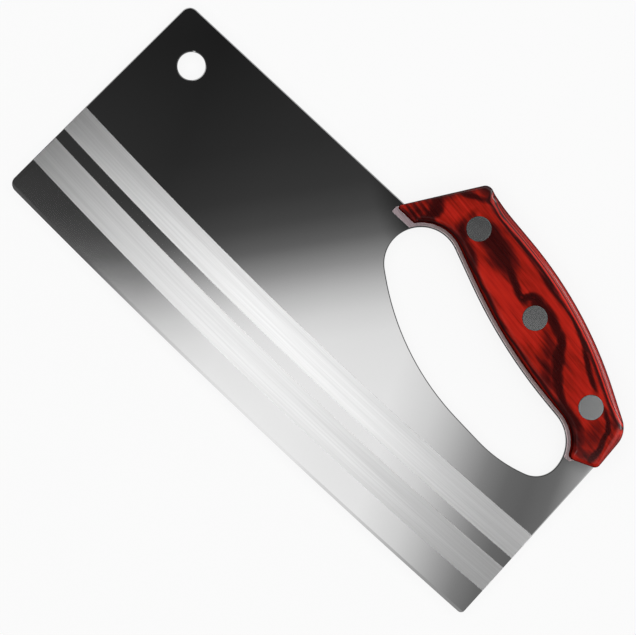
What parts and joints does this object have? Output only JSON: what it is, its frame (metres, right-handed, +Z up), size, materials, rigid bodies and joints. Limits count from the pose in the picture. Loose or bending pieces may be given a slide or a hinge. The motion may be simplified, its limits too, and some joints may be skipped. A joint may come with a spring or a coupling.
{
  "type": "chinese cleaver",
  "caption": "Slicing cleaver with a D-shaped saw-type grip: rounded sheet blade with a hanging hole, looped tang, steel liners, laminated wood scales and flush rivets.",
  "frame": {"origin": "under the middle of the knife's bounding box, on the plane of the back scale's outer face", "axes": "the knife lies flat on its back scale: +X runs along the spine from the front side to the heel, +Y from the cutting edge to the handle, +Z up, out of the pictured face"},
  "size_m": [0.2996, 0.1598, 0.0222],
  "materials": {
    "blade_steel": "mirror-polished stainless steel with two brushed satin bands along the blade",
    "liner_steel": "polished stainless steel",
    "laminated_wood": "glossy lacquered red and black laminated wood",
    "rivet_steel": "ground flat, fine satin"
  },
  "bodies": {
    "root": {"blade": "blade_steel", "liner_front": "liner_steel", "liner_back": "liner_steel", "scale_front": "laminated_wood", "scale_back": "laminated_wood", "rivet_top_post": "rivet_steel", "rivet_top_sleeve": "rivet_steel", "rivet_middle_post": "rivet_steel", "rivet_middle_sleeve": "rivet_steel", "rivet_bottom_post": "rivet_steel", "rivet_bottom_sleeve": "rivet_steel"}
  },
  "joints": []
}
